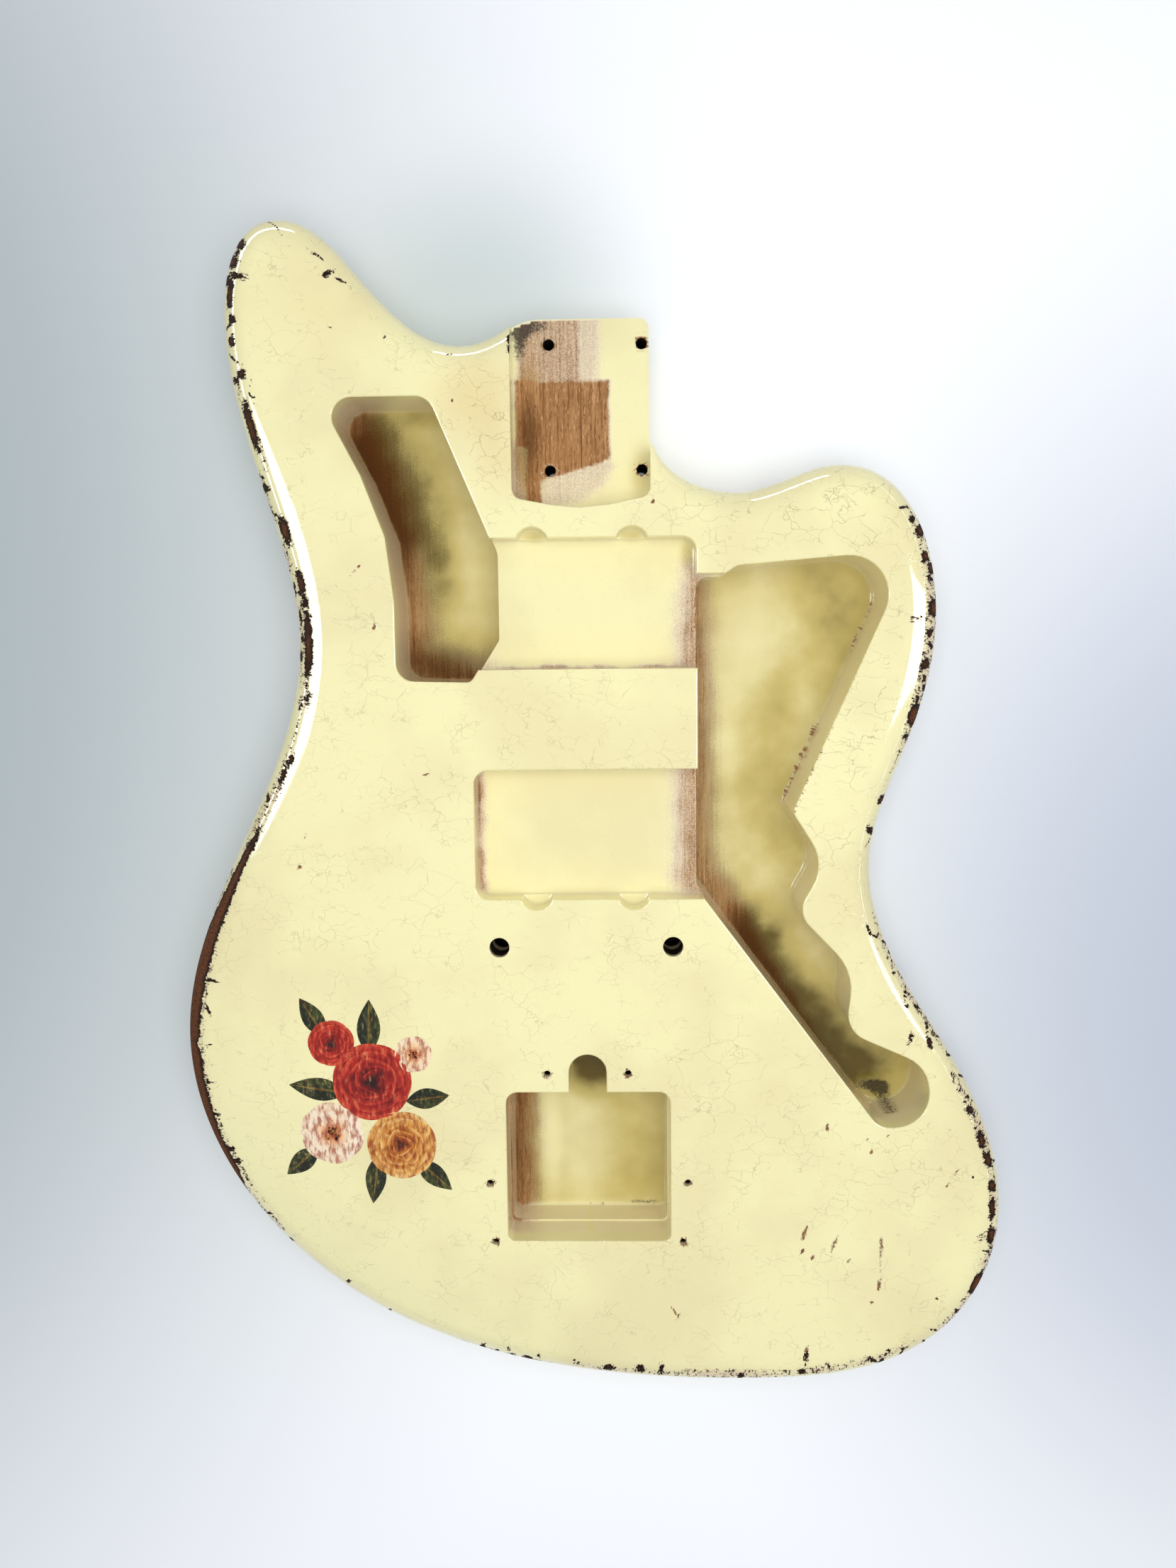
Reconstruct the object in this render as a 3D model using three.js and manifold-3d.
// Bare solid body of an offset-waist electric guitar, in millimetres: two planks glued edge to edge
// on the centre line, cut to one outline, rounded over, contoured for the arm and the ribs, and
// routed for the neck, two pickups, two sets of controls and a tremolo. A thin printed transfer
// lies on the front.
//
// The body lies on its back. The origin is on the back face, under the middle of the bridge line.
// +Y runs up the centre line to the neck, +X is the treble side, and +Z comes out of the front.

import * as THREE from 'three';
import { mergeVertices } from 'three/addons/utils/BufferGeometryUtils.js';
import Module from 'manifold-3d';

const wasm = await Module();
wasm.setup();

// Driving dimensions

const THICKNESS = 44.45;
const EDGE_RADIUS = 12.7;
const HEEL_EDGE_RADIUS = 3;

const HEEL_END_Y = 259;
const POCKET_DEPTH = 15.9;
const POCKET_WIDTH = 56;
const POCKET_END_Y = 182.3;
const POCKET_END_SAG = 3.6;
const POCKET_CORNER = 4.5;
const POCKET_OPEN_Y = 205;

const NECK_SCREW = { spacingX: 38.1, spacingY: 50.8, middleY: 223.5, diameter: 4.6 };
const BRIDGE_POST = { spacing: 73, diameter: 8.4, depth: 28 };

const PICKUP_DEPTH = 14.3;
const PICKUP_CORNER = 6;
const NECK_PICKUP = { bottom: 116.4, top: 169.7, left: -43, right: 46.6 };
const NECK_PICKUP_RUN_OUT = { right: 58, top: 154.6 };
const BRIDGE_PICKUP = { bottom: 20.3, top: 74.9, left: -46, right: 49.4 };
const CRESCENT = { offsetX: 20.4, radius: 6.9, reach: 4.4, depth: 12.8 };

const CAVITY_DEPTH = 34.9;
const TREMOLO = { halfWidth: 35, top: -63.1, bottom: -129.3, topCorner: 4.8, bottomCorner: 3 };
const TREMOLO_SLOT = { halfWidth: 8, top: -46.6 };
const TREMOLO_LEDGE = { depth: 20, width: 0.7 };
const TREMOLO_PILOT = { diameter: 2.8, depth: 16 };
const TREMOLO_PILOTS = [[17.2, -54.8], [42.4, -103.1], [40.3, -129.5]];

const STRAP_PILOT = { diameter: 3, depth: 22, height: 22 };

const TRANSFER_GAP = 0.2;
const TRANSFER_THICKNESS = 0.3;

// Fineness of the facets

const ROUND_STEPS = 4;
const CONTOUR_STEPS = 4;
const STATION_LENGTH = 11;
const STATION_TURN = 8;
const ARC_STEPS = 3;
const HOLE_SIDES = 16;
const SOCKET_SIDES = 24;
const PILOT_SIDES = 10;

// How far cuts run past the surface that they open, and a box that is larger than half the body.
const CLEARANCE = 6;
const HALF_SPACE = { width: 400, length: 800, height: 200 };

// Outline of the body. Each landmark is a point that the edge passes through and the way it is
// heading there, in degrees: 0 is +X, 90 is +Y. The list runs from the neck pocket round the bass
// horn, down the bass side, along the bottom and up the treble side.

const LANDMARKS = [
  { name: 'heel end', x: -16, y: HEEL_END_Y, heading: 180, edge: HEEL_EDGE_RADIUS },
  { name: 'bass cutaway mouth', x: -29, y: 255.2, heading: 214 },
  { name: 'bass cutaway floor', x: -49, y: 248, heading: 180 },
  { name: 'bass horn inside', x: -84, y: 269, heading: 133 },
  { name: 'bass horn tip', x: -122, y: 298.5, heading: 180 },
  { name: 'bass horn side', x: -145.2, y: 259, heading: 270 },
  { name: 'bass upper flank', x: -130.4, y: 187, heading: 287 },
  { name: 'bass waist', x: -119, y: 130, heading: 270 },
  { name: 'bass lower flank', x: -146, y: 45, heading: 244 },
  { name: 'bass lower bout', x: -175, y: -46, heading: 270 },
  { name: 'bass corner', x: -137, y: -136.5, heading: 313 },
  { name: 'bottom bass', x: -87, y: -173, heading: 335 },
  { name: 'bottom', x: 55, y: -197, heading: 0 },
  { name: 'bottom treble', x: 150, y: -177, heading: 38 },
  { name: 'treble lower bout', x: 178, y: -118, heading: 90 },
  { name: 'treble lower flank', x: 145, y: -33, heading: 123 },
  { name: 'treble waist', x: 120, y: 33, heading: 90 },
  { name: 'treble upper flank', x: 134.2, y: 82, heading: 69 },
  { name: 'treble horn side', x: 146.2, y: 136, heading: 90 },
  { name: 'treble horn tip', x: 106, y: 198.5, heading: 180 },
  { name: 'treble cutaway floor', x: 64, y: 188, heading: 180 },
  { name: 'heel treble side', x: 28, y: 214, heading: 90, edge: HEEL_EDGE_RADIUS },
  { name: 'heel corner start', x: 28, y: HEEL_END_Y - 4, heading: 90, edge: HEEL_EDGE_RADIUS },
  { name: 'heel corner end', x: 24, y: HEEL_END_Y, heading: 180, edge: HEEL_EDGE_RADIUS },
];

// The two contours. Each starts and ends on a landmark, and reaches furthest in from the edge, and
// drops deepest at the edge, half way between them.

const ARM_CONTOUR = { from: 'bass lower flank', to: 'bottom', width: 62, depth: 12 };
const RIB_CONTOUR = { from: 'bass horn side', to: 'bass lower bout', width: 88, depth: 16 };

// Cavity outlines, as corners with the radius that the cutter leaves in each: [x, y, radius].

const CONTROL_CAVITY = [
  [47, 153.8, 5],
  [47, 24, 4],
  [123.5, -79, 10],
  [145, -79, 14.5],
  [144, -52.5, 16],
  [109, -37, 12],
  [112, -11, 23],
  [88, 14, 10],
  [100, 34.5, 18],
  [86, 56.5, 5],
  [133.9, 163.2, 16],
  [63, 157.6, 5],
  [57.5, 153.9, 5],
];

const RHYTHM_CAVITY = [
  [-61.4, 226.5, 8],
  [-105.4, 226.5, 8],
  [-77, 171.7, 110],
  [-77, 112.2, 7.5],
  [-46.3, 111.4, 3],
  [-35.4, 128.5, 3],
  [-35.4, 164.5, 8],
];

// Outline of the transfer: a bunch of round blooms with pointed leaves between them. A leaf's place
// is a third of its length out from its root, and its tip is a length further on.

const BLOOMS = [
  { x: -92, y: -58, radius: 17 },
  { x: -110, y: -81, radius: 14 },
  { x: -80, y: -86, radius: 15 },
  { x: -109, y: -41, radius: 10 },
  { x: -74, y: -46, radius: 8 },
];

const LEAF_BULGE_AT = 0.55;
const LEAVES = [
  { x: -114, y: -34, length: 15, width: 9, heading: 122 },
  { x: -93, y: -40, length: 18, width: 10, heading: 88 },
  { x: -73, y: -66, length: 14, width: 9, heading: 8 },
  { x: -70, y: -96, length: 15, width: 9, heading: 318 },
  { x: -91, y: -96, length: 17, width: 9, heading: 262 },
  { x: -120, y: -91, length: 15, width: 9, heading: 222 },
  { x: -109, y: -62, length: 19, width: 10, heading: 172 },
];

// Solids from geometries and back

function solidFrom(geometry) {
  const bare = geometry.clone();
  bare.deleteAttribute('normal');
  bare.deleteAttribute('uv');
  const merged = mergeVertices(bare, 1e-4);
  const index = merged.index.array;
  const kept = [];
  for (let i = 0; i < index.length; i += 3) {
    const [a, b, c] = index.slice(i, i + 3);
    if (a !== b && b !== c && c !== a) kept.push(a, b, c);
  }
  const mesh = new wasm.Mesh({
    numProp: 3,
    vertProperties: Float32Array.from(merged.attributes.position.array),
    triVerts: Uint32Array.from(kept),
  });
  mesh.merge();
  return new wasm.Manifold(mesh);
}

function geometryFrom(solid) {
  const mesh = solid.getMesh();
  const positions = new Float32Array((mesh.vertProperties.length / mesh.numProp) * 3);
  for (let v = 0; v < positions.length / 3; v += 1) {
    for (let axis = 0; axis < 3; axis += 1) {
      const value = mesh.vertProperties[v * mesh.numProp + axis];
      positions[v * 3 + axis] = Math.abs(value) < 1e-4 ? 0 : value;
    }
  }
  const geometry = new THREE.BufferGeometry();
  geometry.setAttribute('position', new THREE.BufferAttribute(positions, 3));
  geometry.setIndex(Array.from(mesh.triVerts));
  geometry.computeVertexNormals();
  return geometry;
}

function prism(shape, fromZ, toZ) {
  const options = { depth: toZ - fromZ, bevelEnabled: false, curveSegments: ARC_STEPS };
  return solidFrom(new THREE.ExtrudeGeometry(shape, options).translate(0, 0, fromZ));
}

function drilled(x, y, diameter, fromZ, toZ, sides) {
  const radius = diameter / 2;
  const cylinder = new THREE.CylinderGeometry(radius, radius, toZ - fromZ, sides);
  return solidFrom(cylinder.rotateX(Math.PI / 2).translate(x, y, (fromZ + toZ) / 2));
}

// A cut that goes from above the front face down to a depth below it.
function routed(shape, depth) {
  return prism(shape, THICKNESS - depth, THICKNESS + CLEARANCE);
}

function rectangle(left, bottom, right, top) {
  const shape = new THREE.Shape();
  shape.moveTo(left, bottom);
  shape.lineTo(right, bottom);
  shape.lineTo(right, top);
  shape.lineTo(left, top);
  shape.closePath();
  return shape;
}

// Shape whose corners are rounded: each corner's arc touches both of its sides.
function roundedShape(corners) {
  const shape = new THREE.Shape();
  corners.forEach(([x, y, radius], i) => {
    const here = new THREE.Vector2(x, y);
    const before = new THREE.Vector2(...corners.at(i - 1).slice(0, 2));
    const after = new THREE.Vector2(...corners[(i + 1) % corners.length].slice(0, 2));
    const back = before.sub(here).normalize();
    const on = after.sub(here).normalize();
    const half = Math.acos(THREE.MathUtils.clamp(back.dot(on), -1, 1)) / 2;
    const start = here.clone().addScaledVector(back, radius / Math.tan(half));
    const end = here.clone().addScaledVector(on, radius / Math.tan(half));
    const centre = here.clone().addScaledVector(back.clone().add(on).normalize(), radius / Math.sin(half));
    const startAngle = Math.atan2(start.y - centre.y, start.x - centre.x);
    const endAngle = Math.atan2(end.y - centre.y, end.x - centre.x);
    const clockwise = back.cross(on) > 0;
    if (i === 0) shape.moveTo(start.x, start.y);
    shape.absarc(centre.x, centre.y, radius, startAngle, endAngle, clockwise);
  });
  shape.closePath();
  return shape;
}

// Stations round the edge

// Cubic curve between two landmarks. For a plain turn its handles give the arc of a circle.
function edgeCurve(a, b) {
  const start = new THREE.Vector2(a.x, a.y);
  const end = new THREE.Vector2(b.x, b.y);
  const headingA = THREE.MathUtils.degToRad(a.heading);
  const headingB = THREE.MathUtils.degToRad(b.heading);
  const turn = THREE.MathUtils.euclideanModulo(headingB - headingA + Math.PI, 2 * Math.PI) - Math.PI;
  const handle = start.distanceTo(end) / (3 * Math.cos(turn / 4) ** 2);
  const first = new THREE.Vector2(Math.cos(headingA), Math.sin(headingA)).multiplyScalar(handle);
  const last = new THREE.Vector2(Math.cos(headingB), Math.sin(headingB)).multiplyScalar(-handle);
  const curve = new THREE.CubicBezierCurve(start, first.add(start), last.add(end), end);
  return { curve, turn: Math.abs(THREE.MathUtils.radToDeg(turn)) };
}

function edgeStations() {
  const stations = [];
  const marks = {};
  let along = 0;
  LANDMARKS.forEach((mark, i) => {
    const next = LANDMARKS[(i + 1) % LANDMARKS.length];
    const { curve, turn } = edgeCurve(mark, next);
    const length = curve.getLength();
    const count = Math.ceil(Math.max(length / STATION_LENGTH, turn / STATION_TURN));
    marks[mark.name] = along;
    for (let k = 0; k < count; k += 1) {
      const t = k / count;
      const tangent = curve.getTangent(t);
      const fade = THREE.MathUtils.smoothstep(t, 0, 1);
      const edge = THREE.MathUtils.lerp(mark.edge ?? EDGE_RADIUS, next.edge ?? EDGE_RADIUS, fade);
      stations.push({
        point: curve.getPoint(t),
        inward: new THREE.Vector2(-tangent.y, tangent.x),
        edge,
        along: along + length * t,
      });
    }
    along += length;
  });
  return { stations, marks };
}

// How far in from the rounded edge a contour reaches at a station.
function contourReach(contour, marks, station) {
  const from = marks[contour.from];
  const part = (station.along - from) / (marks[contour.to] - from);
  if (part <= 0 || part >= 1) return 0;
  return contour.width * Math.sin(Math.PI * part);
}

// Drop of a contour's surface. It is a parabola from the crest to the start of the rounded edge,
// and runs straight on from there, out to the edge.
function contourDrop(contour, reach, fromCrest) {
  const bend = contour.depth / (contour.width ** 2 + 2 * contour.width * EDGE_RADIUS);
  const curved = Math.min(fromCrest, reach);
  return bend * (curved ** 2 + 2 * reach * (fromCrest - curved));
}

// Loops of points round the body for one face, from the side wall in to the contour's crest.
function faceLoops(stations, marks, contour, levelOf) {
  const loops = [];
  const loop = (insetOf, levelBelow) => stations.map((station) => {
    const reach = contourReach(contour, marks, station);
    const inset = insetOf(station, reach);
    const fromCrest = station.edge + reach - inset;
    const below = levelBelow(station) + contourDrop(contour, reach, fromCrest);
    const point = station.point.clone().addScaledVector(station.inward, inset);
    return new THREE.Vector3(point.x, point.y, levelOf(below));
  });
  for (let k = 0; k <= ROUND_STEPS; k += 1) {
    const angle = (Math.PI / 2) * (k / ROUND_STEPS);
    loops.push(loop(
      (station) => station.edge * (1 - Math.cos(angle)),
      (station) => station.edge * (1 - Math.sin(angle)),
    ));
  }
  for (let k = 1; k <= CONTOUR_STEPS; k += 1) {
    loops.push(loop((station, reach) => station.edge + reach * (k / CONTOUR_STEPS), () => 0));
  }
  return loops;
}

function blankSolid() {
  const { stations, marks } = edgeStations();
  const back = faceLoops(stations, marks, RIB_CONTOUR, (below) => below);
  const front = faceLoops(stations, marks, ARM_CONTOUR, (below) => THICKNESS - below);
  const loops = [...back.reverse(), ...front];
  const count = stations.length;
  const positions = loops.flat().flatMap((point) => point.toArray());
  const index = [];
  for (let row = 0; row + 1 < loops.length; row += 1) {
    for (let i = 0; i < count; i += 1) {
      const next = (i + 1) % count;
      const [a, b] = [row * count + i, row * count + next];
      const [c, d] = [a + count, b + count];
      index.push(a, b, d, a, d, c);
    }
  }
  const flat = (loop) => loop.map((point) => new THREE.Vector2(point.x, point.y));
  const lastRow = (loops.length - 1) * count;
  for (const [a, b, c] of THREE.ShapeUtils.triangulateShape(flat(loops[0]), [])) {
    index.push(c, b, a);
  }
  for (const [a, b, c] of THREE.ShapeUtils.triangulateShape(flat(loops.at(-1)), [])) {
    index.push(lastRow + a, lastRow + b, lastRow + c);
  }
  const geometry = new THREE.BufferGeometry();
  geometry.setAttribute('position', new THREE.Float32BufferAttribute(positions, 3));
  geometry.setIndex(index);
  return { blank: solidFrom(geometry), stations, marks };
}

// Routed and drilled cuts

// The pocket is open at the heel's end and, past the treble cutaway, on its treble side. Its end
// wall bows towards the bridge.
function neckPocket() {
  const side = POCKET_WIDTH / 2;
  const corner = POCKET_END_Y + POCKET_END_SAG;
  const shoulder = { x: side - POCKET_CORNER, y: corner - POCKET_END_SAG / 3 };
  const past = HEEL_END_Y + CLEARANCE;
  const shape = new THREE.Shape();
  shape.moveTo(-side, past);
  shape.lineTo(-side, corner + POCKET_CORNER);
  shape.quadraticCurveTo(-side, corner, -shoulder.x, shoulder.y);
  shape.quadraticCurveTo(0, POCKET_END_Y - POCKET_END_SAG / 2, shoulder.x, shoulder.y);
  shape.quadraticCurveTo(side, corner, side, corner + POCKET_CORNER);
  shape.lineTo(side, POCKET_OPEN_Y);
  shape.lineTo(side + CLEARANCE, POCKET_OPEN_Y + CLEARANCE);
  shape.lineTo(side + CLEARANCE, past);
  shape.closePath();
  return routed(shape, POCKET_DEPTH);
}

function neckScrewHoles() {
  const holes = [];
  for (const sideX of [-1, 1]) {
    for (const sideY of [-1, 1]) {
      const x = (sideX * NECK_SCREW.spacingX) / 2;
      const y = NECK_SCREW.middleY + (sideY * NECK_SCREW.spacingY) / 2;
      holes.push(drilled(x, y, NECK_SCREW.diameter, -CLEARANCE, THICKNESS, HOLE_SIDES));
    }
  }
  return holes;
}

// A pickup cavity with its two crescents, which break out of one long side.
function pickupCavity({ left, right, bottom, top }, crescentSide) {
  const pocket = roundedShape([
    [left, bottom, PICKUP_CORNER],
    [right, bottom, PICKUP_CORNER],
    [right, top, PICKUP_CORNER],
    [left, top, PICKUP_CORNER],
  ]);
  const edge = crescentSide > 0 ? top : bottom;
  const middle = edge + crescentSide * (CRESCENT.reach - CRESCENT.radius);
  const floor = THICKNESS - CRESCENT.depth;
  const crescents = [-1, 1].map((side) => drilled(
    side * CRESCENT.offsetX, middle, 2 * CRESCENT.radius, floor, THICKNESS + CLEARANCE, SOCKET_SIDES,
  ));
  return [routed(pocket, PICKUP_DEPTH), ...crescents];
}

// The neck pickup's floor runs into the rhythm cavity on its left, so those corners stay square,
// and into the control cavity on its right, up to a step in its side.
function neckPickupCavity() {
  const { left, bottom, top } = NECK_PICKUP;
  return [
    ...pickupCavity(NECK_PICKUP, 1),
    routed(rectangle(left, bottom, 0, top), PICKUP_DEPTH),
    routed(rectangle(0, bottom, NECK_PICKUP_RUN_OUT.right, NECK_PICKUP_RUN_OUT.top), PICKUP_DEPTH),
  ];
}

// The bridge pickup's floor runs into the control cavity on its right.
function bridgePickupCavity() {
  const { right, bottom, top } = BRIDGE_PICKUP;
  const runOut = rectangle(0, bottom, right, top);
  return [...pickupCavity(BRIDGE_PICKUP, -1), routed(runOut, PICKUP_DEPTH)];
}

// Two router passes leave a narrow ledge round the lower part of the tremolo cavity.
function tremoloCavity() {
  const { halfWidth, top, bottom, topCorner, bottomCorner } = TREMOLO;
  const pocket = (shrink) => roundedShape([
    [shrink - halfWidth, bottom + shrink, bottomCorner],
    [halfWidth - shrink, bottom + shrink, bottomCorner],
    [halfWidth - shrink, top - shrink, topCorner],
    [shrink - halfWidth, top - shrink, topCorner],
  ]);
  const slotRadius = TREMOLO_SLOT.halfWidth;
  const slotMiddle = TREMOLO_SLOT.top - slotRadius;
  const slot = new THREE.Shape();
  slot.moveTo(-slotRadius, top - CLEARANCE);
  slot.lineTo(slotRadius, top - CLEARANCE);
  slot.lineTo(slotRadius, slotMiddle);
  slot.absarc(0, slotMiddle, slotRadius, 0, Math.PI, false);
  slot.closePath();
  return [
    routed(pocket(0), TREMOLO_LEDGE.depth),
    routed(pocket(TREMOLO_LEDGE.width), CAVITY_DEPTH),
    routed(slot, CAVITY_DEPTH),
  ];
}

function blindHoles() {
  const past = THICKNESS + CLEARANCE;
  const postFloor = THICKNESS - BRIDGE_POST.depth;
  const pilotFloor = THICKNESS - TREMOLO_PILOT.depth;
  const holes = [];
  for (const side of [-1, 1]) {
    const postX = (side * BRIDGE_POST.spacing) / 2;
    holes.push(drilled(postX, 0, BRIDGE_POST.diameter, postFloor, past, SOCKET_SIDES));
    for (const [x, y] of TREMOLO_PILOTS) {
      holes.push(drilled(side * x, y, TREMOLO_PILOT.diameter, pilotFloor, past, PILOT_SIDES));
    }
  }
  return holes;
}

// Pilot holes for the strap buttons, drilled square into the edge at the bass horn and the bottom.
function strapHoles(stations, marks) {
  const nearest = (along) => stations.reduce((best, station) => (
    Math.abs(station.along - along) < Math.abs(best.along - along) ? station : best
  ));
  const horn = nearest((marks['bass horn tip'] + marks['bass horn side']) / 2);
  const bottom = nearest((marks['bottom bass'] * 2 + marks.bottom * 3) / 5);
  return [horn, bottom].map(({ point, inward }) => {
    const radius = STRAP_PILOT.diameter / 2;
    const length = STRAP_PILOT.depth + CLEARANCE;
    const cylinder = new THREE.CylinderGeometry(radius, radius, length, PILOT_SIDES);
    cylinder.translate(0, length / 2 - CLEARANCE, 0);
    cylinder.rotateZ(Math.atan2(inward.y, inward.x) - Math.PI / 2);
    return solidFrom(cylinder.translate(point.x, point.y, STRAP_PILOT.height));
  });
}

// Finished pieces

const { blank, stations, marks } = blankSolid();

function boardSolid(side) {
  const cuts = [
    neckPocket(),
    ...neckScrewHoles(),
    ...neckPickupCavity(),
    ...bridgePickupCavity(),
    ...tremoloCavity(),
    ...blindHoles(),
    ...strapHoles(stations, marks),
    routed(roundedShape(CONTROL_CAVITY), CAVITY_DEPTH),
    routed(roundedShape(RHYTHM_CAVITY), CAVITY_DEPTH),
  ];
  const { width, length, height } = HALF_SPACE;
  const half = new THREE.BoxGeometry(width, length, height).translate((side * width) / 2, 0, 0);
  return blank.intersect(solidFrom(half)).subtract(cuts.reduce((joined, cut) => joined.add(cut)));
}

function leafShape({ x, y, length, width, heading }) {
  const angle = THREE.MathUtils.degToRad(heading);
  const along = new THREE.Vector2(Math.cos(angle), Math.sin(angle));
  const across = new THREE.Vector2(-along.y, along.x);
  const root = new THREE.Vector2(x, y).addScaledVector(along, -length / 3);
  const tip = root.clone().addScaledVector(along, (length * 4) / 3);
  const middle = root.clone().addScaledVector(along, length * LEAF_BULGE_AT);
  const bulge = (side) => middle.clone().addScaledVector(across, side * width);
  const shape = new THREE.Shape();
  shape.moveTo(root.x, root.y);
  shape.quadraticCurveTo(...bulge(-1).toArray(), tip.x, tip.y);
  shape.quadraticCurveTo(...bulge(1).toArray(), root.x, root.y);
  return shape;
}

// The film follows the front face: it is what the bunch's outline shares with the body moved up by
// the film's thickness, less the body itself.
function transferSolid() {
  const depth = THICKNESS / 2;
  const blooms = BLOOMS.map(({ x, y, radius }) => (
    drilled(x, y, 2 * radius, THICKNESS - depth, THICKNESS + CLEARANCE, SOCKET_SIDES)
  ));
  const leaves = LEAVES.map((leaf) => routed(leafShape(leaf), depth));
  const outline = [...blooms, ...leaves].reduce((joined, solid) => joined.add(solid));
  const filmTop = blank.translate([0, 0, TRANSFER_GAP + TRANSFER_THICKNESS]);
  const filmBottom = blank.translate([0, 0, TRANSFER_GAP]);
  return outline.intersect(filmTop).subtract(filmBottom);
}

function pieceMesh(name, solid, color, roughness) {
  const material = new THREE.MeshStandardMaterial({ color, roughness, metalness: 0 });
  const mesh = new THREE.Mesh(geometryFrom(solid), material);
  mesh.name = name;
  return mesh;
}

const body = new THREE.Group();
body.add(pieceMesh('bass_side_board', boardSolid(-1), 0xefe7b4, 0.35));
body.add(pieceMesh('treble_side_board', boardSolid(1), 0xefe7b4, 0.35));
body.add(pieceMesh('front_transfer', transferSolid(), 0x9c2a22, 0.3));

export default body;
